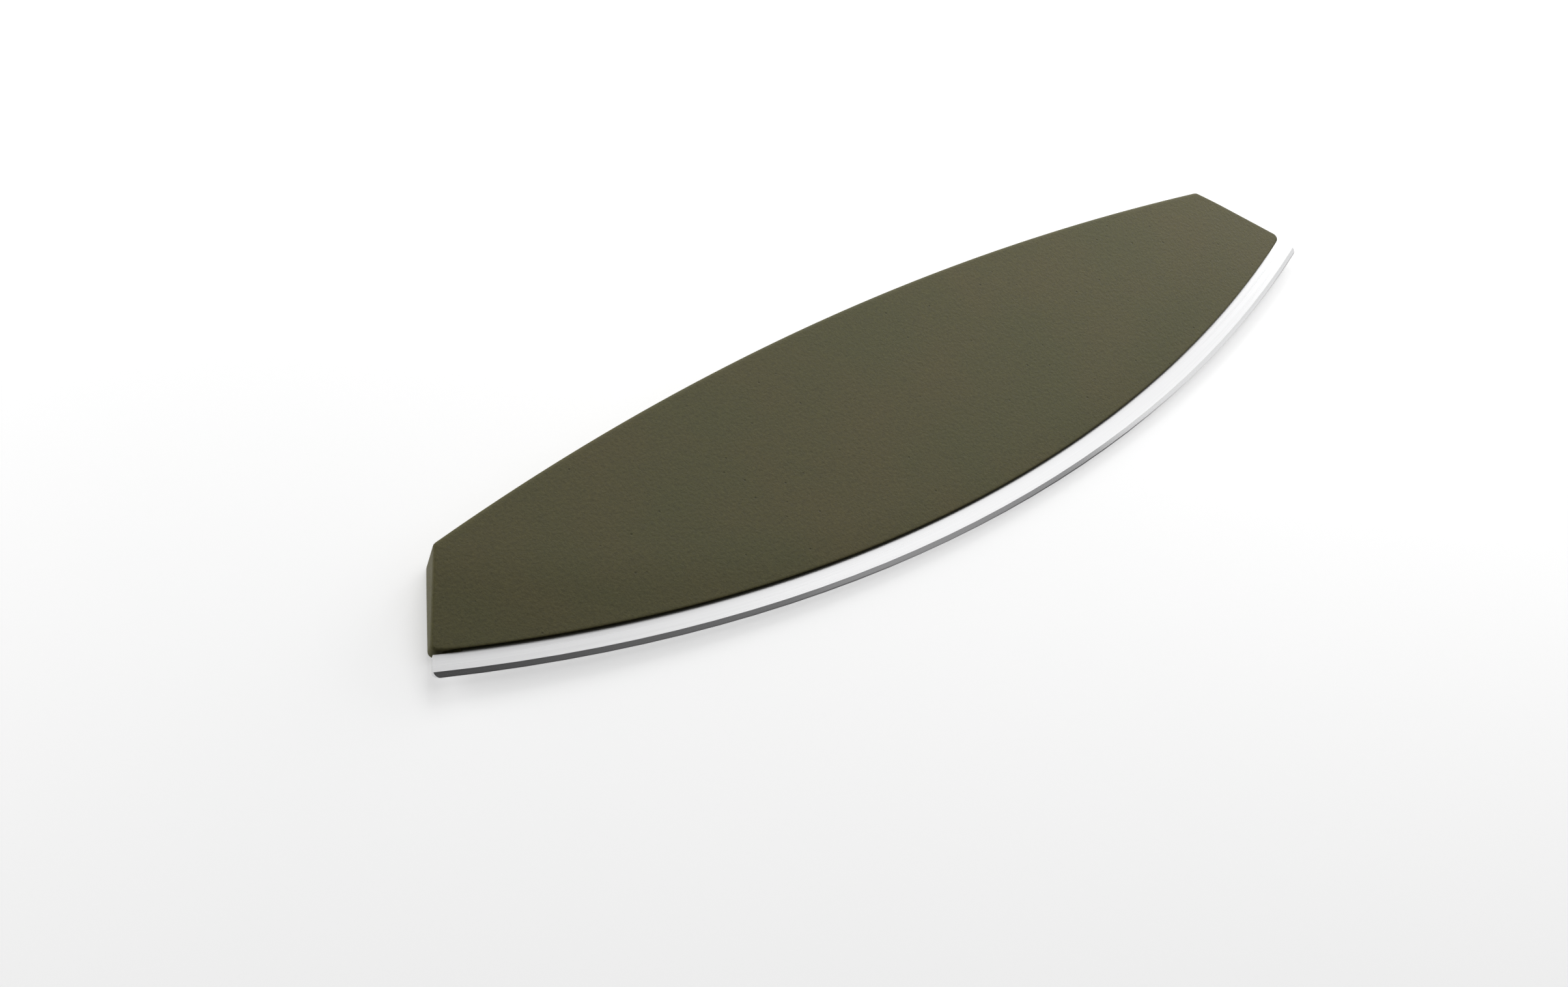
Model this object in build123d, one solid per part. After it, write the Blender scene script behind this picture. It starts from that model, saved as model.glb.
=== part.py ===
from build123d import *
import os
from math import atan, degrees, hypot, sqrt

# Rocking pizza knife, lying on the flat back of its grip with the front up.
# Lengths are millimetres. +X runs along the knife, +Y points from the cutting edge to the spine, +Z is up.
# The knife is first built in its blade frame: x along the knife, y towards the spine, z through the blade,
# with the lowest point of the grip's lip at the origin. At the end it is laid down on its back.

# Grip, outer form
GRIP_HEIGHT = 77.0  # lip to spine in the middle
LIP_LENGTH = 364.0  # chord of the lip arc, end to end
LIP_RISE = 34.8  # height of the lip's ends over its middle
SPINE_FALL = 14.0  # height of the spine's middle over its ends
END_LEAN = 19.7  # how far each end leans in from lip to spine
SPINE_THICKNESS = 14.0  # in the middle of the spine
LIP_THICKNESS = 4.6  # the same all along the lip
FACET_WIDTH = 3.0  # shallow facet between face and lip, in the middle
FACET_END_SHARE = 0.84  # of the grip's end that the same facet takes
SPINE_CORNER_RADIUS = 2.4
LIP_CORNER_RADIUS = 2.0
RIM_RADIUS = 1.4  # rounding all round both faces

# Soft skin over the core
SKIN_FACE = 1.0  # skin thickness on the faces
SKIN_EDGE = 1.6  # skin thickness at the spine and the ends
SKIN_LIP = 5.0  # depth of the solid lip that holds the blade
CORE_CORNER_RADIUS = 1.5

# Blade
BLADE_THICKNESS = 1.8
BLADE_SHOW = 7.0  # cutting edge below the lip
BEVEL_WIDTH = 1.5  # both grinds together
MICRO_BEVEL_WIDTH = 0.3  # steeper last grind at the cutting edge
MICRO_BEVEL_THICKNESS = 0.5  # blade thickness where the last grind starts
EDGE_LAND = 0.1  # thickness left at the cutting edge
BLADE_END_INSET = 1.0  # blade end behind the grip's end plane
TIP_RADIUS = 2.0
TANG_DROP = 26.0  # tang top below the spine, in the middle
TANG_END_INSET = 9.0
TANG_END_RISE = 7.0  # height of the tang's ends
TANG_CORNER_RADIUS = 3.0
TANG_CLEARANCE = 0.2  # round the tang in its recess

# Rivets through the tang
RIVET_COUNT = 5
RIVET_END_INSET = 36.0  # last rivet behind the tang's end
RIVET_HEIGHT_SHARE = 0.65  # of the way from the lip to the tang's top
RIVET_SHANK_RADIUS = 2.0
RIVET_HEAD_RADIUS = 4.0
RIVET_HEAD_HEIGHT = 0.8
RIVET_CLEARANCE = 0.1

# Hollows and dowels inside the core
CELL_COUNT = 8
CELL_CORNER_RADIUS = 2.0
CELL_FACE_WALL = 2.0  # core wall under the skin, over a hollow's lowest corner
RIB_WIDTH = 2.4
CELL_WALL = 3.5  # core wall at the spine
TANG_WALL = 3.0  # core wall above the tang
DOWEL_RADIUS = 2.0
DOWEL_LENGTH = 2.4
DOWEL_CLEARANCE = 0.1
DOWEL_END_INSET = 12.0  # dowel axis behind the end plane
DOWEL_HEIGHT_SHARE = 0.6  # of the way from the lip to the spine
DOWEL_WALL = 3.0  # core wall between a dowel and the row of hollows

# How far cutting shapes run past what they cut
OVERRUN = 20.0


def arc_radius(half_chord, sag):
    """Radius of an arc from half its chord and its sag."""
    return (half_chord**2 + sag**2) / (2 * sag)


LIP_RADIUS = arc_radius(LIP_LENGTH / 2, LIP_RISE)
SPINE_RADIUS = arc_radius(LIP_LENGTH / 2 - END_LEAN, SPINE_FALL)


def lip_height(x):
    """Height y of the lip arc."""
    return LIP_RADIUS - sqrt(LIP_RADIUS**2 - x**2)


def spine_height(x, drop=0.0):
    """Height y of the arc that lies drop below the spine."""
    return GRIP_HEIGHT - SPINE_RADIUS + sqrt((SPINE_RADIUS - drop) ** 2 - x**2)


LIP_END = (LIP_LENGTH / 2, LIP_RISE)
SPINE_END = (LIP_LENGTH / 2 - END_LEAN, GRIP_HEIGHT - SPINE_FALL)
END_LENGTH = hypot(SPINE_END[0] - LIP_END[0], SPINE_END[1] - LIP_END[1])
END_RUN = ((SPINE_END[0] - LIP_END[0]) / END_LENGTH, (SPINE_END[1] - LIP_END[1]) / END_LENGTH)
END_INWARD = (-END_RUN[1], END_RUN[0])

# The flat faces and the facets along the lip meet on a crease, which is FACET_WIDTH above the lip in the middle
# and runs out through the grip's ends.
HALF_TAPER = (SPINE_THICKNESS - LIP_THICKNESS) / 2
END_DEPTH = LIP_RADIUS - hypot(SPINE_END[0], LIP_RADIUS - SPINE_END[1])
FACET_END_WIDTH = END_DEPTH * FACET_END_SHARE
CREASE_END_HEIGHT = LIP_END[1] + (SPINE_END[1] - LIP_END[1]) * FACET_END_SHARE
CREASE_SHARE = (CREASE_END_HEIGHT - FACET_WIDTH) / (GRIP_HEIGHT - FACET_WIDTH)
FACET_SLOPE = HALF_TAPER * CREASE_SHARE / (FACET_END_WIDTH - FACET_WIDTH * (1 - CREASE_SHARE))
CREASE_HALF = LIP_THICKNESS / 2 + FACET_SLOPE * FACET_WIDTH
FACE_SLOPE = (SPINE_THICKNESS / 2 - CREASE_HALF) / (GRIP_HEIGHT - FACET_WIDTH)


def face_half(y):
    """Half thickness of the grip under its flat faces."""
    return CREASE_HALF + FACE_SLOPE * (y - FACET_WIDTH)


def facet_half(depth):
    """Half thickness of the grip under its facets, at a depth inside the lip arc."""
    return LIP_THICKNESS / 2 + FACET_SLOPE * depth


def grip_half(x, y):
    """Half thickness of the grip at a point of the blade's plane."""
    return min(face_half(y), facet_half(LIP_RADIUS - hypot(x, LIP_RADIUS - y)))


def arc_crossing(inset, centre, radius, near):
    """Where the end line, moved inwards by inset, crosses a circle round (0, centre), next to near."""
    start = (LIP_END[0] + END_INWARD[0] * inset, LIP_END[1] + END_INWARD[1] * inset)
    along = start[0] * END_RUN[0] + (start[1] - centre) * END_RUN[1]
    root = sqrt(along**2 - start[0] ** 2 - (start[1] - centre) ** 2 + radius**2)
    runs = (-along - root, -along + root)
    points = [(start[0] + run * END_RUN[0], start[1] + run * END_RUN[1]) for run in runs]
    return min(points, key=lambda point: abs(point[1] - near))


def end_on_lip(inset, radius):
    """Point of the inset end line on an arc concentric with the lip."""
    return arc_crossing(inset, LIP_RADIUS, radius, LIP_END[1])


def end_on_spine(inset, drop):
    """Point of the inset end line on the arc that lies drop below the spine."""
    return arc_crossing(inset, GRIP_HEIGHT - SPINE_RADIUS, SPINE_RADIUS - drop, SPINE_END[1])


def mirrored(point):
    """The same point at the knife's other end."""
    return (-point[0], point[1])


def round_corners(face, points, radius):
    """Round the corners of a flat face that lie at the given points and at their mirror images."""
    places = [Vector(*point, 0) for point in points] + [Vector(*mirrored(point), 0) for point in points]
    corners = [min(face.vertices(), key=lambda vertex: (Vector(vertex) - place).length) for place in places]
    return face.fillet_2d(radius, corners)


def lens_face(spine_drop, end_inset, lip_inset, spine_corner, lip_corner):
    """Outline between the lip arc, the spine arc and the two end lines, each moved inwards."""
    low = end_on_lip(end_inset, LIP_RADIUS - lip_inset)
    high = end_on_spine(end_inset, spine_drop)
    with BuildLine() as outline:
        ThreePointArc(mirrored(low), (0, lip_inset), low)
        Line(low, high)
        ThreePointArc(high, (0, GRIP_HEIGHT - spine_drop), mirrored(high))
        Line(mirrored(high), mirrored(low))
    face = Face(outline.wires()[0])
    face = round_corners(face, [high], spine_corner)
    return round_corners(face, [low], lip_corner)


def both_sides(face, half):
    """A flat face in the blade's plane, thickened by half to the front and to the back."""
    return extrude(face, half, both=True)


def turned(points):
    """Solid turned about the lip arc's axis, from (depth inside the lip arc, half thickness) points."""
    front = [(depth, half) for depth, half in points]
    back = [(depth, -half) for depth, half in reversed(points)]
    section = Plane.YZ * make_face(Polyline(*front, *back, close=True))
    return revolve(section, Axis((0, LIP_RADIUS, 0), (0, 0, 1)))


def grip_form(face, skin):
    """The grip's wedge inside an outline, with its faces and facets moved inwards by a skin thickness."""
    low = -OVERRUN
    high = GRIP_HEIGHT + OVERRUN
    wedge = [
        (low, face_half(low) - skin),
        (high, face_half(high) - skin),
        (high, skin - face_half(high)),
        (low, skin - face_half(low)),
    ]
    wedge_section = Plane.YZ * make_face(Polyline(*wedge, close=True))
    block = both_sides(face, SPINE_THICKNESS)
    block = block & extrude(wedge_section, LIP_LENGTH, both=True)
    block = block & turned([(high, facet_half(high) - skin), (low / 2, facet_half(low / 2) - skin)])
    return block.solids()[0]


def outer_grip():
    """The whole grip as one solid, with its rim rounded on both faces."""
    face = lens_face(0.0, 0.0, 0.0, SPINE_CORNER_RADIUS, LIP_CORNER_RADIUS)
    block = grip_form(face, 0.0)

    def on_side(edge):
        sides = [side for side in block.faces() if any(edge.is_same(other) for other in side.edges())]
        return any(abs(side.normal_at(edge @ 0.5).Z) < abs(side.normal_at(edge @ 0.5).Y) for side in sides)

    rim = [edge for edge in block.edges() if abs(edge.tangent_at(0.5).Z) < 1 / 2 and on_side(edge)]
    return fillet(rim, RIM_RADIUS)


def core_form():
    """The hard core as one solid, before it is split and hollowed."""
    face = lens_face(SKIN_EDGE, SKIN_EDGE, SKIN_LIP, CORE_CORNER_RADIUS, CORE_CORNER_RADIUS)
    return grip_form(face, SKIN_FACE)


def tang_end(clearance):
    """Lower and upper corner of the tang's end, moved outwards by a clearance."""
    low = end_on_lip(TANG_END_INSET - clearance, LIP_RADIUS)
    rise = TANG_END_RISE + clearance
    return low, (low[0] + END_RUN[0] * rise, low[1] + END_RUN[1] * rise)


def tang_top(x):
    """Height y of the tang's top edge."""
    corner = tang_end(0.0)[1]
    middle = GRIP_HEIGHT - TANG_DROP
    return middle + (corner[1] - middle) * (x / corner[0]) ** 2


def tang_face(clearance):
    """Outline of the tang, from the blade's shoulder up, with room round it."""
    low, high = tang_end(clearance)
    with BuildLine() as outline:
        ThreePointArc(mirrored(low), (0, 0), low)
        Line(low, high)
        ThreePointArc(high, (0, tang_top(0) + clearance), mirrored(high))
        Line(mirrored(high), mirrored(low))
    return round_corners(Face(outline.wires()[0]), [high], TANG_CORNER_RADIUS)


def band_face():
    """Outline of the blade that shows below the grip."""
    low = end_on_lip(BLADE_END_INSET, LIP_RADIUS + BLADE_SHOW)
    high = end_on_lip(BLADE_END_INSET, LIP_RADIUS)
    with BuildLine() as outline:
        ThreePointArc(mirrored(low), (0, -BLADE_SHOW), low)
        Line(low, high)
        ThreePointArc(high, (0, 0), mirrored(high))
        Line(mirrored(high), mirrored(low))
    return round_corners(Face(outline.wires()[0]), [low], TIP_RADIUS)


def rivet_places():
    """Rivet axes, evenly spaced along the knife and at one share of the tang's height."""
    last = tang_end(0.0)[1][0] - RIVET_END_INSET
    places = []
    for index in range(RIVET_COUNT):
        x = last * (2 * index / (RIVET_COUNT - 1) - 1)
        places.append((x, lip_height(x) + (tang_top(x) - lip_height(x)) * RIVET_HEIGHT_SHARE))
    return places


def rod(place, radius, half):
    """Round rod square to the blade, as long to the front as to the back."""
    return Pos(place[0], place[1], 0) * both_sides(make_face(CenterArc((0, 0), radius, 0, 360)), half)


def seat_half(place):
    """Half distance between a rivet's two head seats: each head ends under the skin's own thickness."""
    lowest = grip_half(place[0], place[1] - RIVET_HEAD_RADIUS - RIVET_CLEARANCE)
    return lowest - SKIN_FACE - RIVET_HEAD_HEIGHT


def rivet(place):
    """One set rivet: a shank with a flat head on each side of the core."""
    shank = rod(place, RIVET_SHANK_RADIUS, seat_half(place))
    heads = rod(place, RIVET_HEAD_RADIUS, seat_half(place) + RIVET_HEAD_HEIGHT)
    heads = heads - rod(place, RIVET_HEAD_RADIUS, seat_half(place))
    return (shank + heads).solids()[0]


def head_pockets(place):
    """The two pockets round and over a rivet's heads, which the skin fills."""
    pocket = rod(place, RIVET_HEAD_RADIUS + RIVET_CLEARANCE, SPINE_THICKNESS)
    return pocket - rod(place, RIVET_HEAD_RADIUS + RIVET_CLEARANCE, seat_half(place))


def rivet_bore(place):
    """What a rivet takes out of the core: its shank hole and the two head pockets."""
    return head_pockets(place) + rod(place, RIVET_SHANK_RADIUS + RIVET_CLEARANCE, SPINE_THICKNESS)


def blade():
    """Ground sheet blade: the band that shows, with its bevels, and the tang with its rivet holes."""
    half = BLADE_THICKNESS / 2
    sheet = both_sides(band_face(), half) + both_sides(tang_face(0.0), half)
    ground = [
        (GRIP_HEIGHT + OVERRUN, half),
        (BEVEL_WIDTH - BLADE_SHOW, half),
        (MICRO_BEVEL_WIDTH - BLADE_SHOW, MICRO_BEVEL_THICKNESS / 2),
        (-BLADE_SHOW, EDGE_LAND / 2),
        (-BLADE_SHOW - BEVEL_WIDTH, EDGE_LAND / 2),
    ]
    sheet = sheet & turned(ground)
    for place in rivet_places():
        sheet = sheet - rod(place, RIVET_SHANK_RADIUS + RIVET_CLEARANCE, BLADE_THICKNESS)
    return sheet.solids()[0]


def dowel_places():
    """Dowel axes, one near each end of the core."""
    low = end_on_lip(DOWEL_END_INSET, LIP_RADIUS)
    high = end_on_spine(DOWEL_END_INSET, 0.0)
    x = low[0] + (high[0] - low[0]) * DOWEL_HEIGHT_SHARE
    y = low[1] + (high[1] - low[1]) * DOWEL_HEIGHT_SHARE
    return [(x, y), (-x, y)]


def cell_face(start, stop):
    """Outline of one hollow, from x = start to x = stop, between the tang and the spine."""
    middle = (start + stop) / 2
    spine_side = [(x, spine_height(x, SKIN_EDGE + CELL_WALL)) for x in (start, middle, stop)]
    tang_side = [(x, tang_top(x) + TANG_WALL) for x in (stop, middle, start)]
    with BuildLine() as outline:
        ThreePointArc(*spine_side)
        Line(spine_side[-1], tang_side[0])
        ThreePointArc(*tang_side)
        Line(tang_side[-1], spine_side[0])
    face = Face(outline.wires()[0])
    return face.fillet_2d(CELL_CORNER_RADIUS, face.vertices())


def cells():
    """All hollows of both core halves, in a row along the spine, each as deep as the core allows."""
    row_end = dowel_places()[0][0] - DOWEL_RADIUS - DOWEL_WALL
    pitch = (2 * row_end + RIB_WIDTH) / CELL_COUNT
    hollows = []
    for index in range(CELL_COUNT):
        start = pitch * index - row_end
        face = cell_face(start, start + pitch - RIB_WIDTH)
        thinnest = min(grip_half(corner.X, corner.Y) for corner in face.vertices())
        hollows.append(both_sides(face, thinnest - SKIN_FACE - CELL_FACE_WALL))
    return hollows


def half_space(side):
    """Everything in front of the blade's plane (side 1) or behind it (side -1)."""
    block = Box(LIP_LENGTH + OVERRUN, GRIP_HEIGHT + OVERRUN, SPINE_THICKNESS)
    return Pos(0, GRIP_HEIGHT / 2, side * SPINE_THICKNESS / 2) * block


def core_half(side):
    """One hard half of the core: recess for the tang, rivet bores, hollows, and a dowel or its socket."""
    half = core_form() & half_space(side)
    half = half - both_sides(tang_face(TANG_CLEARANCE), BLADE_THICKNESS / 2)
    for place in rivet_places():
        half = half - rivet_bore(place)
    for hollow in cells():
        half = half - hollow
    for place in dowel_places():
        if side > 0:
            half = half + rod(place, DOWEL_RADIUS, DOWEL_LENGTH)
        else:
            half = half - rod(place, DOWEL_RADIUS + DOWEL_CLEARANCE, DOWEL_LENGTH + DOWEL_CLEARANCE)
    return half.solids()[0]


def grip_skin():
    """Seamless soft skin round the core, open only along the lip, where the blade comes out."""
    inside = core_form()
    for place in rivet_places():
        inside = inside - head_pockets(place)
    skin = outer_grip() - inside
    skin = skin - both_sides(tang_face(0.0), BLADE_THICKNESS / 2)
    for place in rivet_places():
        skin = skin - rivet(place)
    return skin.solids()[0]


nodes = {
    "blade": blade(),
    "grip_skin": grip_skin(),
    "core_front": core_half(1),
    "core_back": core_half(-1),
}
for number, axis_place in enumerate(rivet_places(), start=1):
    nodes[f"tang_rivet_{number}"] = rivet(axis_place)

# The knife is laid on the flat back of its grip, with its footprint centred on the origin.
lay_down = Rot(degrees(atan(FACE_SLOPE)), 0, 0)
laid = Compound([lay_down * solid for solid in nodes.values()])
box = laid.bounding_box()
settle = Pos(-box.center().X, -box.center().Y, -box.min.Z)

os.makedirs("parts", exist_ok=True)
for name, solid in nodes.items():
    export_step(settle * lay_down * solid, f"parts/{name}.step")
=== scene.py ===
from math import atan, cos, hypot, pi, radians, sin, sqrt

import bmesh
import bpy
from mathutils import Euler, Matrix, Vector


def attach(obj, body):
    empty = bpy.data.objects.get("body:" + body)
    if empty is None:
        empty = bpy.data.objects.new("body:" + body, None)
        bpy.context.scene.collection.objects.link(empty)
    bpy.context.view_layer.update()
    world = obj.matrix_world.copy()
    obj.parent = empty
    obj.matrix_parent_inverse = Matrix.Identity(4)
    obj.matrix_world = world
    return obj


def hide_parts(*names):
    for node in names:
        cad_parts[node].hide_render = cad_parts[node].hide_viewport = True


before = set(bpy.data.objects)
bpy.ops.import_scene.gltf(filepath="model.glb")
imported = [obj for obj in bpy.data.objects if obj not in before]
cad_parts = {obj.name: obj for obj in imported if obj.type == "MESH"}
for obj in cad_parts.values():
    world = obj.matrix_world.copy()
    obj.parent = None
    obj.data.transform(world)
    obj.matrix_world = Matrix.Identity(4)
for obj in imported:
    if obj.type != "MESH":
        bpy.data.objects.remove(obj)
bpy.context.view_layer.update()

MM = 0.001

# Sizes repeated from the part's source, in millimetres, in the blade frame: x along the knife, y towards the
# spine, z through the blade, with the lowest point of the grip's lip at the origin.
GRIP_HEIGHT = 77.0
LIP_LENGTH = 364.0
LIP_RISE = 34.8
SPINE_FALL = 14.0
END_LEAN = 19.7
SPINE_THICKNESS = 14.0
LIP_THICKNESS = 4.6
FACET_WIDTH = 3.0
FACET_END_SHARE = 0.84
SPINE_CORNER_RADIUS = 2.4
LIP_CORNER_RADIUS = 2.0
RIM_RADIUS = 1.4
SKIN_FACE = 1.0
SKIN_EDGE = 1.6
SKIN_LIP = 5.0
CORE_CORNER_RADIUS = 1.5
BLADE_SHOW = 7.0
BEVEL_WIDTH = 1.5
EDGE_LAND = 0.1
RIVET_COUNT = 5

# The grip's visible form, in millimetres
CREASE_BLEND = 0.5  # how softly the faces run into the facets
SKIN_INSIDE = 0.03  # how far the visible skin stays inside the solid
LIP_INSET = 0.4  # the visible lip, behind the solid one
LIP_ROUND_WIDTH = 0.75  # the lip's roll, in the blade's plane
LIP_ROUND_DEPTH = 0.24  # the lip's roll, through the blade
LIP_ROUND_FADE = 4.0  # stretch over which the lip's roll turns into the one at the ends
END_ROUND = 1.0  # the roll at both ends
ROUND_FULL = 0.85  # power of the roll's sine and cosine: below one is fuller than an ellipse
SLOT_DEPTH = 2.6  # way in over which the slot under the lip narrows
SLOT_HALF = 0.93  # half width of the slot there, just clear of the blade
SLOT_END = 3.6  # the slot's end, from the end line
SLOT_CLEAR = 0.8  # the least way from the slot's end to a corner
SKIN_GAP = 0.02  # between the skin and the core
INNER_RING = 4.0  # from the outline to the ring that the grid of a face fills
INNER_CORNER = 1.0  # radius of that ring's corners

# Steps of the grip's mesh
SLOT_STEPS = 56  # from the lip's middle to the slot's end
END_STEPS = 6  # from there to the lip's corner
CORNER_STEPS = 8  # round a corner
SIDE_STEPS = 30  # along the straight part of an end
ROUND_STEPS = 7  # over the roll
FLAT_STEPS = 3  # from the roll to the inner ring
SHARP_ANGLE = 40.0  # degrees

# Finishes. A noise has a scale, a detail and a roughness, and a bump has a strength and a height in metres.
NOISE_BAND = (0.3, 0.7)  # the part of a noise's values that is stretched over a range

GRIP_BROWNER = (0.125, 0.109, 0.045, 1.0)  # the grip's two close tones
GRIP_GREENER = (0.113, 0.108, 0.044, 1.0)
TONE_NOISE = (28.0, 3.0, 0.55)
TONE_BAND = (0.35, 0.65)
MOTTLE_NOISE = (1100.0, 3.0, 0.6)
MOTTLE_SHADE = (0.83, 1.17)
GRIP_ROUGHNESS = (0.52, 0.64)
GRIP_SPECULAR = 0.25
GRAIN_NOISE = (900.0, 3.0, 0.7)
GRIP_BUMP = (0.8, 0.00018)
PIT_SCALE = 260.0
PIT_SIDE = (0.04, 0.12)  # a pit's bottom and rim, from the middle of its cell
PIT_RARE = 0.7  # cells whose random number is higher have a pit
PIT_PAINTED_SHADE = 0.55  # painted shade at a pit's bottom, a darker colour standing in for the hollow's shade
PIT_RELIEF = 0.5  # depth of a pit, where the grain's whole height is one

STEEL_TINT = (0.73, 0.73, 0.735, 1.0)
STREAK_NOISE = (1.0, 2.0, 0.6)
BROAD_STREAK = (0.120, 0.0009)  # length and width in metres
BRUSH_STREAK = (0.100, 0.00025)
STREAK_SHADE = (0.97, 1.02)
FLAT_ROUGHNESS = (0.27, 0.32)
BEVEL_ROUGHNESS = (0.14, 0.22)
BEVEL_BLEND = 0.02  # millimetres each side of the line between flat and bevel
STEEL_BUMP = (0.1, 0.00002)

HIDDEN_DETAIL = (3.0, 0.6)  # detail and roughness of the noise on the pieces inside
HIDDEN_SHADE = (0.92, 1.06)
HIDDEN_BUMP = (0.2, 0.00005)
CORE_TINT = (0.05, 0.05, 0.045, 1.0)
CORE_ROUGHNESS = (0.5, 0.65)
CORE_SCALE = 600.0
RIVET_TINT = (0.6, 0.6, 0.61, 1.0)
RIVET_ROUGHNESS = (0.3, 0.42)
RIVET_SCALE = 1800.0

# Floor and surroundings
WHITE = (1.0, 1.0, 1.0, 1.0)
FLOOR_HALF = 4.0  # metres, from the middle to each side
FLOOR_SEEN = (0.9, 0.9, 0.9, 1.0)
FLOOR_GLOW = 0.42  # added to what is seen of the floor
FLOOR_BOUNCE = (0.2, 0.2, 0.2, 1.0)  # the floor's colour for the light that it throws back
WORLD_LEVEL = (0.03, 0.18)  # radiance towards the horizon and overhead
WORLD_RISE = (0.1, 0.75)  # between these values of a direction's z
WORLD_SHARE = (0.33, 1.0)  # share of that level on the left and on the right
WORLD_TURN = (0.05, 0.35)  # between these values of a direction's x

# Name, place, target, width, height and radiance of each soft lamp, in metres
LAMPS = (
    ("panel_left", (0.075, 0.23, 0.55), (0.075, 0.23, 0.0), 0.35, 0.50, 0.42),
    ("panel_middle", (0.425, 0.23, 0.55), (0.425, 0.23, 0.0), 0.35, 0.50, 1.17),
    ("panel_right", (0.85, 0.23, 0.55), (0.85, 0.23, 0.0), 0.50, 0.50, 0.86),
    ("key_back", (0.40, 0.60, 0.45), (0.08, 0.0, 0.0), 0.40, 0.30, 5.6),
    ("key_side", (0.70, 0.20, 0.20), (0.08, 0.0, 0.0), 0.50, 0.25, 4.55),
    ("key_front", (0.40, -0.30, 0.50), (0.08, 0.0, 0.0), 0.40, 0.40, 0.22),
    ("key_top", (0.05, 0.55, 0.75), (0.0, 0.0, 0.0), 0.50, 0.40, 0.35),
    ("overhead", (0.0, 0.0, 0.9), (0.0, 0.0, 0.0), 0.80, 0.45, 0.76),
    ("back_left", (-0.55, 0.45, 0.15), (-0.15, 0.0, 0.0), 0.50, 0.25, 4.4),
    ("low_right", (0.93, -0.26, 0.38), (0.12, -0.02, 0.0), 0.50, 0.40, 0.94),
)

# Camera, fitted to the photograph: place in metres, turn in degrees, lens and sensor in millimetres
CAMERA_PLACE = (-0.486753, -0.301659, 0.571732)
CAMERA_TURN = (40.92561, -13.8032, -40.02994)
CAMERA_LENS = 59.207
CAMERA_SENSOR = 36.0
CAMERA_CLIP = (0.01, 20.0)

# Form of the grip, worked out as in the part's source
LIP_RADIUS = ((LIP_LENGTH / 2) ** 2 + LIP_RISE**2) / (2 * LIP_RISE)
SPINE_HALF = LIP_LENGTH / 2 - END_LEAN
SPINE_RADIUS = (SPINE_HALF**2 + SPINE_FALL**2) / (2 * SPINE_FALL)
SPINE_CENTRE = GRIP_HEIGHT - SPINE_RADIUS
LIP_END = (LIP_LENGTH / 2, LIP_RISE)
SPINE_END = (SPINE_HALF, GRIP_HEIGHT - SPINE_FALL)
END_LENGTH = hypot(SPINE_END[0] - LIP_END[0], SPINE_END[1] - LIP_END[1])
END_RUN = ((SPINE_END[0] - LIP_END[0]) / END_LENGTH, (SPINE_END[1] - LIP_END[1]) / END_LENGTH)
END_INWARD = (-END_RUN[1], END_RUN[0])
HALF_TAPER = (SPINE_THICKNESS - LIP_THICKNESS) / 2
END_DEPTH = LIP_RADIUS - hypot(SPINE_END[0], LIP_RADIUS - SPINE_END[1])
FACET_END_WIDTH = END_DEPTH * FACET_END_SHARE
CREASE_END_HEIGHT = LIP_END[1] + (SPINE_END[1] - LIP_END[1]) * FACET_END_SHARE
CREASE_SHARE = (CREASE_END_HEIGHT - FACET_WIDTH) / (GRIP_HEIGHT - FACET_WIDTH)
FACET_SLOPE = HALF_TAPER * CREASE_SHARE / (FACET_END_WIDTH - FACET_WIDTH * (1 - CREASE_SHARE))
CREASE_HALF = LIP_THICKNESS / 2 + FACET_SLOPE * FACET_WIDTH
FACE_SLOPE = (SPINE_THICKNESS / 2 - CREASE_HALF) / (GRIP_HEIGHT - FACET_WIDTH)
TILT = atan(FACE_SLOPE)

# The knife lies on its back face, centred between the cutting edge and the spine's rounded rim, whose
# centre is RIM_HALF from the blade's plane. SETTLE is where the blade frame's origin comes to lie.
EDGE_REACH = BLADE_SHOW * cos(TILT) + EDGE_LAND / 2 * sin(TILT)
RIM_HEIGHT = GRIP_HEIGHT - RIM_RADIUS
RIM_HALF = CREASE_HALF + FACE_SLOPE * (RIM_HEIGHT - FACET_WIDTH) - RIM_RADIUS / cos(TILT)
SPINE_REACH = RIM_HEIGHT * cos(TILT) + RIM_HALF * sin(TILT) + RIM_RADIUS
SETTLE = (0.0, (EDGE_REACH - SPINE_REACH) / 2, CREASE_HALF * cos(TILT) - FACET_WIDTH * sin(TILT))

# Places on a ring of the grip's mesh, counted from the lip's middle to the right and round
LIP_SIDE = SLOT_STEPS + END_STEPS
RING_COUNT = 2 * (2 * LIP_SIDE + 2 * CORNER_STEPS + SIDE_STEPS)
LIP_CORNER_AT = LIP_SIDE + CORNER_STEPS // 2
SPINE_CORNER_START = LIP_SIDE + CORNER_STEPS + SIDE_STEPS
SPINE_CORNER_AT = SPINE_CORNER_START + CORNER_STEPS // 2
COLUMNS = 2 * LIP_CORNER_AT
ROWS = SPINE_CORNER_AT - LIP_CORNER_AT

# Sides of the blade's plane, as the sign of z
FRONT = 1
BACK = -1
SIDES = (FRONT, BACK)

LAID = Matrix.Translation(Vector(SETTLE) * MM) @ Matrix.Rotation(TILT, 4, "X")


def laid(x, y, z):
    """A point of the blade frame, in millimetres, as a place in the model's frame."""
    return LAID @ (Vector((x, y, z)) * MM)


def face_half(y):
    """Half thickness of the grip under its flat faces."""
    return CREASE_HALF + FACE_SLOPE * (y - FACET_WIDTH)


def facet_half(x, y):
    """Half thickness of the grip under the facets along the lip."""
    return LIP_THICKNESS / 2 + FACET_SLOPE * (LIP_RADIUS - hypot(x, LIP_RADIUS - y))


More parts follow.
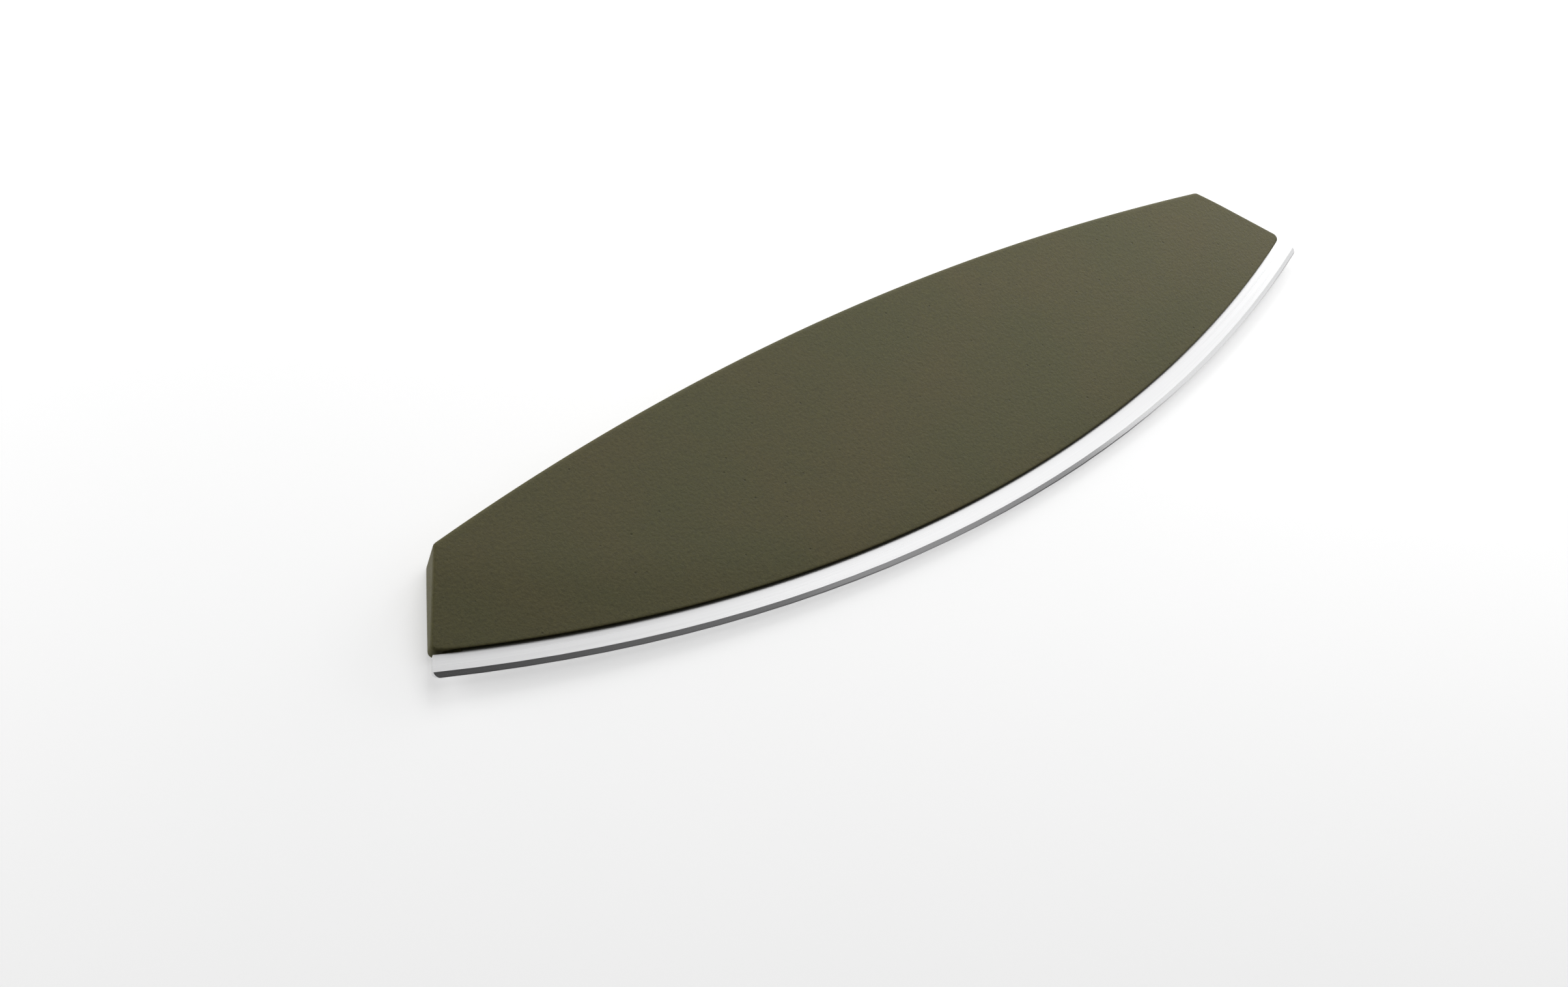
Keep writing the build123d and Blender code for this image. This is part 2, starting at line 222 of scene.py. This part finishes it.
def soft_half(x, y):
    """Half thickness of the visible grip, with the crease between face and facet softened."""
    face = face_half(y)
    facet = facet_half(x, y)
    near = max(CREASE_BLEND - abs(face - facet), 0.0) / CREASE_BLEND
    return min(face, facet) - near * near * CREASE_BLEND / 4 - SKIN_INSIDE


def core_half(x, y):
    """Half thickness of the space for the core."""
    return min(face_half(y), facet_half(x, y)) - SKIN_FACE + SKIN_GAP


def end_crossing(inset, centre, radius, near):
    """Where the end line, moved inwards by inset, crosses a circle round (0, centre)."""
    start = (LIP_END[0] + END_INWARD[0] * inset, LIP_END[1] + END_INWARD[1] * inset)
    along = start[0] * END_RUN[0] + (start[1] - centre) * END_RUN[1]
    root = sqrt(along**2 - start[0] ** 2 - (start[1] - centre) ** 2 + radius**2)
    runs = (-along - root, -along + root)
    points = [(start[0] + run * END_RUN[0], start[1] + run * END_RUN[1]) for run in runs]
    return min(points, key=lambda point: abs(point[1] - near))


def on_lip(inset, drop):
    """Where the moved end line crosses the arc that lies drop inside the lip."""
    return end_crossing(inset, LIP_RADIUS, LIP_RADIUS - drop, LIP_END[1])


def on_spine(inset, drop):
    """Where the moved end line crosses the arc that lies drop inside the spine."""
    return end_crossing(inset, SPINE_CENTRE, SPINE_RADIUS - drop, SPINE_END[1])


def arc_points(centre, radius, start, stop, count):
    """Points on an arc round (0, centre), evenly spaced by angle, without the last one."""
    first = Vector((start[0], start[1] - centre)).normalized()
    last = Vector((stop[0], stop[1] - centre)).normalized()
    angle = first.angle_signed(last)
    points = []
    for index in range(count):
        turn = -angle * index / count
        c, s = cos(turn), sin(turn)
        direction = (first[0] * c - first[1] * s, first[0] * s + first[1] * c)
        points.append((direction[0] * radius, direction[1] * radius + centre))
    return points


def corner_points(centre, radius, start, stop):
    """Points on a corner's arc, without the last one."""
    first = (Vector(start) - Vector(centre)).normalized()
    last = (Vector(stop) - Vector(centre)).normalized()
    points = []
    for index in range(CORNER_STEPS):
        direction = first.slerp(last, index / CORNER_STEPS)
        points.append((centre[0] + direction[0] * radius, centre[1] + direction[1] * radius))
    return points


def line_points(start, stop):
    """Points on the straight part of an end, without the last one."""
    run = (stop[0] - start[0], stop[1] - start[1])
    steps = range(SIDE_STEPS)
    return [(start[0] + run[0] * step / SIDE_STEPS, start[1] + run[1] * step / SIDE_STEPS) for step in steps]


def outline(lip_inset, spine_inset, end_inset, lip_corner, spine_corner):
    """Closed outline between both arcs and both ends, from the lip's middle to the right and round."""
    lip_reach = LIP_RADIUS - lip_inset
    lip_centre = on_lip(end_inset + lip_corner, lip_inset + lip_corner)
    away = Vector((lip_centre[0], lip_centre[1] - LIP_RADIUS)).normalized()
    lip_tangent = (away[0] * lip_reach, LIP_RADIUS + away[1] * lip_reach)
    end_low = (lip_centre[0] - END_INWARD[0] * lip_corner, lip_centre[1] - END_INWARD[1] * lip_corner)
    spine_reach = SPINE_RADIUS - spine_inset
    spine_centre = on_spine(end_inset + spine_corner, spine_inset + spine_corner)
    away = Vector((spine_centre[0], spine_centre[1] - SPINE_CENTRE)).normalized()
    spine_tangent = (away[0] * spine_reach, SPINE_CENTRE + away[1] * spine_reach)
    end_high = (
        spine_centre[0] - END_INWARD[0] * spine_corner,
        spine_centre[1] - END_INWARD[1] * spine_corner,
    )
    slot_end = on_lip(max(SLOT_END, end_inset + lip_corner + SLOT_CLEAR), lip_inset)
    right = arc_points(LIP_RADIUS, lip_reach, (0, lip_inset), slot_end, SLOT_STEPS)
    right += arc_points(LIP_RADIUS, lip_reach, slot_end, lip_tangent, END_STEPS)
    right += corner_points(lip_centre, lip_corner, lip_tangent, end_low)
    right += line_points(end_low, end_high)
    right += corner_points(spine_centre, spine_corner, end_high, spine_tangent)
    top = (0, GRIP_HEIGHT - spine_inset)
    right += arc_points(SPINE_CENTRE, spine_reach, spine_tangent, top, LIP_SIDE)
    left = [(-x, y) for x, y in reversed(right[1:])]
    return right + [top] + left


def inward_of(ring):
    """Inward direction at each point of a closed ring that runs anticlockwise."""
    directions = []
    for index in range(len(ring)):
        before = Vector(ring[index - 1])
        after = Vector(ring[(index + 1) % len(ring)])
        run = (after - before).normalized()
        directions.append((-run[1], run[0]))
    return directions


def roll_sizes(outer):
    """Width and depth of the roll at each point of the outline, blended at both ends of each end wall."""
    lip_tangent_x = outer[LIP_SIDE][0]
    sizes = []
    for index, (x, y) in enumerate(outer):
        step = min(index, RING_COUNT - index)
        if step <= LIP_SIDE:
            share = (lip_tangent_x - abs(x)) / LIP_ROUND_FADE
            width, depth = LIP_ROUND_WIDTH, LIP_ROUND_DEPTH
        else:
            share = (step - SPINE_CORNER_START) / CORNER_STEPS
            width, depth = RIM_RADIUS, RIM_RADIUS
        share = min(max(share, 0.0), 1.0)
        share = share * share * (3 - 2 * share)
        sizes.append((END_ROUND + (width - END_ROUND) * share, END_ROUND + (depth - END_ROUND) * share))
    return sizes


def filled(ring):
    """Rows of ring indices or inner points that fill a ring between its four corners."""
    low = [(index - LIP_CORNER_AT) % RING_COUNT for index in range(COLUMNS + 1)]
    high = [(RING_COUNT - SPINE_CORNER_AT - index) % RING_COUNT for index in range(COLUMNS + 1)]
    left = [(-LIP_CORNER_AT - index) % RING_COUNT for index in range(ROWS + 1)]
    right = [(LIP_CORNER_AT + index) % RING_COUNT for index in range(ROWS + 1)]
    rows = [low]
    for row in range(1, ROWS):
        v = row / ROWS
        line = [left[row]]
        for column in range(1, COLUMNS):
            u = column / COLUMNS
            place = []
            for axis in (0, 1):
                across = ring[left[row]][axis] * (1 - u) + ring[right[row]][axis] * u
                up = ring[low[column]][axis] * (1 - v) + ring[high[column]][axis] * v
                corner = (
                    ring[low[0]][axis] * (1 - u) * (1 - v)
                    + ring[low[-1]][axis] * u * (1 - v)
                    + ring[high[0]][axis] * (1 - u) * v
                    + ring[high[-1]][axis] * u * v
                )
                place.append(across + up - corner)
            line.append(tuple(place))
        rows.append(line + [right[row]])
    return rows + [high]


def bridge(form, first, second):
    """Quads between two closed rings of vertices."""
    for index in range(len(first)):
        after = (index + 1) % len(first)
        form.faces.new((first[index], first[after], second[after], second[index]))


def fill(form, ring_places, ring_vertices, half, side):
    """Quads that fill a ring, on one side of the blade."""
    rows = []
    for line in filled(ring_places):
        row = []
        for entry in line:
            if isinstance(entry, int):
                row.append(ring_vertices[entry])
            else:
                row.append(form.verts.new(laid(entry[0], entry[1], side * half(entry[0], entry[1]))))
        rows.append(row)
    for low, high in zip(rows, rows[1:]):
        for column in range(len(low) - 1):
            form.faces.new((low[column], low[column + 1], high[column + 1], high[column]))


def face_rings(form, outer, inner, side):
    """Rings of vertices over the roll and on to the inner ring, on one side of the blade."""
    edge = list(zip(outer, inward_of(outer), roll_sizes(outer), inner))
    rings = []
    for step in range(ROUND_STEPS + 1):
        turn = step / ROUND_STEPS * pi / 2
        ring = []
        for (x, y), (nx, ny), (width, depth), _ in edge:
            inset = width * (1 - cos(turn) ** ROUND_FULL)
            drop = depth * (1 - sin(turn) ** ROUND_FULL)
            px, py = x + nx * inset, y + ny * inset
            ring.append(form.verts.new(laid(px, py, side * (soft_half(px, py) - drop))))
        rings.append(ring)
    for step in range(1, FLAT_STEPS + 1):
        share = step / FLAT_STEPS
        ring = []
        for (x, y), (nx, ny), (width, depth), (ix, iy) in edge:
            px = (x + nx * width) * (1 - share) + ix * share
            py = (y + ny * width) * (1 - share) + iy * share
            ring.append(form.verts.new(laid(px, py, side * soft_half(px, py))))
        rings.append(ring)
    return rings


def close_edge(form, outer, cavity, wall, cavity_wall):
    """Walls at the outline and round the core, and between them the slot that the blade comes out of."""
    mid = {side: [form.verts.new(laid(x, y, side * SLOT_HALF)) for x, y in cavity] for side in SIDES}
    slot = {side: {} for side in SIDES}
    for index in range(RING_COUNT):
        if min(index, RING_COUNT - index) <= SLOT_STEPS:
            start, stop = Vector(outer[index]), Vector(cavity[index])
            place = start + (stop - start).normalized() * SLOT_DEPTH
            for side in SIDES:
                slot[side][index] = form.verts.new(laid(place[0], place[1], side * SLOT_HALF))
    for index in range(RING_COUNT):
        after = (index + 1) % RING_COUNT
        opened = index in slot[FRONT] and after in slot[FRONT]
        for side in SIDES:
            inside, middle = cavity_wall[side], mid[side]
            form.faces.new((inside[index], inside[after], middle[after], middle[index]))
            if opened:
                outside, throat = wall[side], slot[side]
                form.faces.new((outside[index], outside[after], throat[after], throat[index]))
                form.faces.new((throat[index], throat[after], middle[after], middle[index]))
        if not opened:
            form.faces.new((wall[FRONT][index], wall[FRONT][after], wall[BACK][after], wall[BACK][index]))
            form.faces.new((mid[FRONT][index], mid[FRONT][after], mid[BACK][after], mid[BACK][index]))
    for index in (SLOT_STEPS, RING_COUNT - SLOT_STEPS):
        front = (wall[FRONT][index], slot[FRONT][index], mid[FRONT][index])
        back = (mid[BACK][index], slot[BACK][index], wall[BACK][index])
        form.faces.new(front + back)


def new_piece(name, form):
    """A mesh object from a bmesh, smooth but for its sharp edges."""
    bmesh.ops.recalc_face_normals(form, faces=form.faces[:])
    mesh = bpy.data.meshes.new(name)
    form.to_mesh(mesh)
    form.free()
    mesh.shade_smooth()
    mesh.set_sharp_from_angle(angle=radians(SHARP_ANGLE))
    piece = bpy.data.objects.new(name, mesh)
    bpy.context.scene.collection.objects.link(piece)
    return piece


def grip_piece():
    """The skin over the core, one closed surface with the slot along its lip."""
    form = bmesh.new()
    outer = outline(LIP_INSET, SKIN_INSIDE, 0.0, LIP_CORNER_RADIUS, SPINE_CORNER_RADIUS)
    inner = outline(INNER_RING, INNER_RING, INNER_RING, INNER_CORNER, INNER_CORNER)
    cavity = outline(SKIN_LIP, SKIN_EDGE, SKIN_EDGE, CORE_CORNER_RADIUS, CORE_CORNER_RADIUS)
    wall = {}
    cavity_wall = {}
    for side in SIDES:
        rings = face_rings(form, outer, inner, side)
        for first, second in zip(rings, rings[1:]):
            bridge(form, first, second)
        fill(form, inner, rings[-1], soft_half, side)
        wall[side] = rings[0]
        cavity_wall[side] = [form.verts.new(laid(x, y, side * core_half(x, y))) for x, y in cavity]
        fill(form, cavity, cavity_wall[side], core_half, side)
    close_edge(form, outer, cavity, wall, cavity_wall)
    return new_piece("grip", form)


class Graph:
    """The nodes of a material or of the world, each made by one call."""

    # Sockets of a colour mix
    MIX_INPUTS = (0, 6, 7)
    MIX_RESULT = 2

    def __init__(self, tree):
        self.tree = tree
        tree.nodes.clear()

    def feed(self, socket, value):
        """Link a socket to another one, or set its value."""
        if isinstance(value, bpy.types.NodeSocket):
            self.tree.links.new(value, socket)
        else:
            socket.default_value = value

    def node(self, kind, inputs=(), **settings):
        """A new node, with its settings and with a value or a link at its inputs."""
        made = self.tree.nodes.new(kind)
        for key, value in settings.items():
            setattr(made, key, value)
        for socket, value in dict(inputs).items():
            self.feed(made.inputs[socket], value)
        return made

    def math(self, operation, *values):
        """The result of an operation on values or sockets."""
        return self.node("ShaderNodeMath", dict(enumerate(values)), operation=operation).outputs[0]

    def ranged(self, value, source, target):
        """Stretch one range of values over another, and stop at its ends."""
        inputs = {
            "Value": value,
            "From Min": source[0],
            "From Max": source[1],
            "To Min": target[0],
            "To Max": target[1],
        }
        return self.node("ShaderNodeMapRange", inputs).outputs["Result"]

    def mixed(self, share, first, second, blend="MIX"):
        """Two colours, mixed by a share of the second one."""
        made = self.node("ShaderNodeMix", data_type="RGBA", blend_type=blend)
        for index, value in zip(self.MIX_INPUTS, (share, first, second)):
            self.feed(made.inputs[index], value)
        return made.outputs[self.MIX_RESULT]

    def shaded(self, tint, shade):
        """A tint times a shade."""
        return self.mixed(1.0, tint, shade, "MULTIPLY")

    def noise(self, vector, scale, detail, roughness):
        """Noise at a place."""
        inputs = {"Vector": vector, "Scale": scale, "Detail": detail, "Roughness": roughness}
        return self.node("ShaderNodeTexNoise", inputs).outputs["Fac"]

    def bump(self, strength, distance, height):
        """The direction of a surface that a height makes uneven."""
        inputs = {"Strength": strength, "Distance": distance, "Height": height}
        return self.node("ShaderNodeBump", inputs).outputs[0]

    def place(self):
        """The place on the piece, in metres."""
        return self.node("ShaderNodeTexCoord").outputs["Object"]

    def surface(self, **inputs):
        """The shader of a material, and its output."""
        named = {key.replace("_", " "): value for key, value in inputs.items()}
        shader = self.node("ShaderNodeBsdfPrincipled", named)
        self.node("ShaderNodeOutputMaterial", {"Surface": shader.outputs[0]})


def material(name):
    """A new material and its empty graph."""
    made = bpy.data.materials.new(name)
    made.use_nodes = True
    return made, Graph(made.node_tree)


def grip_material():
    """Matt moulding in two close tones, with a fine grain and rare pits whose bottoms carry painted shade.
    """
    made, graph = material("grip_olive")
    place = graph.place()
    cloud = graph.noise(place, *TONE_NOISE)
    mottle = graph.noise(place, *MOTTLE_NOISE)
    grain = graph.noise(place, *GRAIN_NOISE)
    cells = graph.node("ShaderNodeTexVoronoi", {"Vector": place, "Scale": PIT_SCALE}, feature="F1")
    pit = graph.ranged(cells.outputs["Distance"], PIT_SIDE, (1.0, 0.0))
    chance = graph.node("ShaderNodeSeparateColor", {"Color": cells.outputs["Color"]}).outputs[0]
    pit = graph.math("MULTIPLY", pit, graph.math("GREATER_THAN", chance, PIT_RARE))
    tone = graph.mixed(graph.ranged(cloud, TONE_BAND, (0.0, 1.0)), GRIP_BROWNER, GRIP_GREENER)
    shade = graph.ranged(mottle, NOISE_BAND, MOTTLE_SHADE)
    # painted shade: the colour darkens towards each pit's bottom, where the hollow would be shaded
    shade = graph.math("MULTIPLY", shade, graph.ranged(pit, (0.0, 1.0), (1.0, PIT_PAINTED_SHADE)))
    relief = graph.math("SUBTRACT", grain, graph.math("MULTIPLY", pit, PIT_RELIEF))
    graph.surface(
        Base_Color=graph.shaded(tone, shade),
        Roughness=graph.ranged(mottle, NOISE_BAND, GRIP_ROUGHNESS),
        Specular_IOR_Level=GRIP_SPECULAR,
        Normal=graph.bump(*GRIP_BUMP, relief),
    )
    return made


def arc_place(graph):
    """Along the blade's arc, and outwards from the lip, in metres."""
    inputs = {"Vector": graph.place(), "Location": Vector(SETTLE) * MM, "Rotation": (TILT, 0.0, 0.0)}
    turned = graph.node("ShaderNodeMapping", inputs, vector_type="TEXTURE")
    parts = graph.node("ShaderNodeSeparateXYZ", {"Vector": turned.outputs[0]})
    x = parts.outputs["X"]
    up = graph.math("SUBTRACT", LIP_RADIUS * MM, parts.outputs["Y"])
    square = graph.math("ADD", graph.math("MULTIPLY", x, x), graph.math("MULTIPLY", up, up))
    out = graph.math("SUBTRACT", graph.math("SQRT", square), LIP_RADIUS * MM)
    along = graph.math("MULTIPLY", graph.math("ARCTAN2", x, up), LIP_RADIUS * MM)
    return along, out


def blade_material():
    """Steel brushed along the arc, with a smoother ground bevel."""
    made, graph = material("blade_brushed")
    along, out = arc_place(graph)

    def streaks(length, width):
        inputs = {
            "X": graph.math("DIVIDE", along, length),
            "Y": graph.math("DIVIDE", out, width),
            "Z": 0.0,
        }
        return graph.noise(graph.node("ShaderNodeCombineXYZ", inputs).outputs[0], *STREAK_NOISE)

    broad = streaks(*BROAD_STREAK)
    brush = streaks(*BRUSH_STREAK)
    line = BLADE_SHOW - BEVEL_WIDTH
    bevel = graph.ranged(out, ((line - BEVEL_BLEND) * MM, (line + BEVEL_BLEND) * MM), (0.0, 1.0))
    flat = graph.math("SUBTRACT", 1.0, bevel)
    shade = graph.math(
        "MULTIPLY",
        graph.ranged(broad, NOISE_BAND, STREAK_SHADE),
        graph.ranged(brush, NOISE_BAND, STREAK_SHADE),
    )
    rough = graph.math(
        "ADD",
        graph.math("MULTIPLY", graph.ranged(brush, NOISE_BAND, FLAT_ROUGHNESS), flat),
        graph.math("MULTIPLY", graph.ranged(brush, NOISE_BAND, BEVEL_ROUGHNESS), bevel),
    )
    graph.surface(
        Base_Color=graph.shaded(STEEL_TINT, shade),
        Metallic=1.0,
        Roughness=rough,
        Normal=graph.bump(*STEEL_BUMP, brush),
    )
    return made


def hidden_material(name, tint, metallic, roughness, scale):
    """Plain finish of the pieces inside."""
    made, graph = material(name)
    cloud = graph.noise(graph.place(), scale, *HIDDEN_DETAIL)
    graph.surface(
        Base_Color=graph.shaded(tint, graph.ranged(cloud, NOISE_BAND, HIDDEN_SHADE)),
        Metallic=metallic,
        Roughness=graph.ranged(cloud, NOISE_BAND, roughness),
        Normal=graph.bump(*HIDDEN_BUMP, cloud),
    )
    return made


def dress(node, made):
    """Give a material to a solid of the frame."""
    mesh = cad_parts[node].data
    mesh.materials.clear()
    mesh.materials.append(made)


def add_floor():
    """A pale floor that keeps the knife's shadow and throws little light back onto the knife."""
    form = bmesh.new()
    corners = ((-1, -1), (1, -1), (1, 1), (-1, 1))
    form.faces.new([form.verts.new((x * FLOOR_HALF, y * FLOOR_HALF, 0.0)) for x, y in corners])
    floor = new_piece("floor", form)
    made, graph = material("floor_pale")
    path = graph.node("ShaderNodeLightPath").outputs
    seen = graph.math("MAXIMUM", path["Is Camera Ray"], path["Is Glossy Ray"])
    seen = graph.math("MAXIMUM", seen, path["Is Transmission Ray"])
    bounce = graph.node("ShaderNodeBsdfDiffuse", {"Color": FLOOR_BOUNCE})
    pale = graph.node("ShaderNodeBsdfDiffuse", {"Color": FLOOR_SEEN})
    glow = graph.node("ShaderNodeEmission", {"Color": WHITE, "Strength": FLOOR_GLOW})
    shown = graph.node("ShaderNodeAddShader", {0: pale.outputs[0], 1: glow.outputs[0]})
    whole = graph.node("ShaderNodeMixShader", {0: seen, 1: bounce.outputs[0], 2: shown.outputs[0]})
    graph.node("ShaderNodeOutputMaterial", {"Surface": whole.outputs[0]})
    floor.data.materials.append(made)


def add_world():
    """Even studio surroundings, darker towards the horizon and on the left, and white to the camera."""
    world = bpy.data.worlds.new("studio")
    world.use_nodes = True
    bpy.context.scene.world = world
    graph = Graph(world.node_tree)
    way = graph.node("ShaderNodeTexCoord").outputs["Generated"]
    parts = graph.node("ShaderNodeSeparateXYZ", {"Vector": way})
    level = graph.ranged(parts.outputs["Z"], WORLD_RISE, WORLD_LEVEL)
    share = graph.ranged(parts.outputs["X"], WORLD_TURN, WORLD_SHARE)
    level = graph.math("MULTIPLY", level, share)
    path = graph.node("ShaderNodeLightPath").outputs["Is Camera Ray"]
    shader = graph.node("ShaderNodeBackground", {"Color": graph.mixed(path, level, WHITE), "Strength": 1.0})
    graph.node("ShaderNodeOutputWorld", {"Surface": shader.outputs[0]})


def add_lamp(name, place, target, width, height, radiance):
    """A rectangular soft lamp at a place, turned to a target, with a given radiance."""
    data = bpy.data.lights.new(name, "AREA")
    data.shape = "RECTANGLE"
    data.size = width
    data.size_y = height
    data.energy = radiance * pi * width * height
    lamp = bpy.data.objects.new(name, data)
    lamp.location = place
    lamp.rotation_euler = (Vector(target) - Vector(place)).to_track_quat("-Z", "Y").to_euler()
    lamp.visible_camera = False
    bpy.context.scene.collection.objects.link(lamp)


def add_camera():
    """The camera with the photograph's view."""
    data = bpy.data.cameras.new("camera")
    data.lens = CAMERA_LENS
    data.sensor_width = CAMERA_SENSOR
    data.sensor_fit = "HORIZONTAL"
    data.clip_start, data.clip_end = CAMERA_CLIP
    camera = bpy.data.objects.new("camera", data)
    camera.location = CAMERA_PLACE
    camera.rotation_euler = Euler([radians(angle) for angle in CAMERA_TURN], "XYZ")
    bpy.context.scene.collection.objects.link(camera)
    bpy.context.scene.camera = camera


olive = grip_material()
grip = grip_piece()
grip.data.materials.append(olive)
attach(grip, "root")
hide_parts("grip_skin")

core = hidden_material("core_moulding", CORE_TINT, 0.0, CORE_ROUGHNESS, CORE_SCALE)
rivet = hidden_material("rivet_turned", RIVET_TINT, 1.0, RIVET_ROUGHNESS, RIVET_SCALE)
dress("grip_skin", olive)
dress("blade", blade_material())
dress("core_front", core)
dress("core_back", core)
for number in range(1, RIVET_COUNT + 1):
    dress(f"tang_rivet_{number}", rivet)

add_floor()
add_world()
for lamp in LAMPS:
    add_lamp(*lamp)
add_camera()
bpy.context.scene.view_settings.view_transform = "Standard"
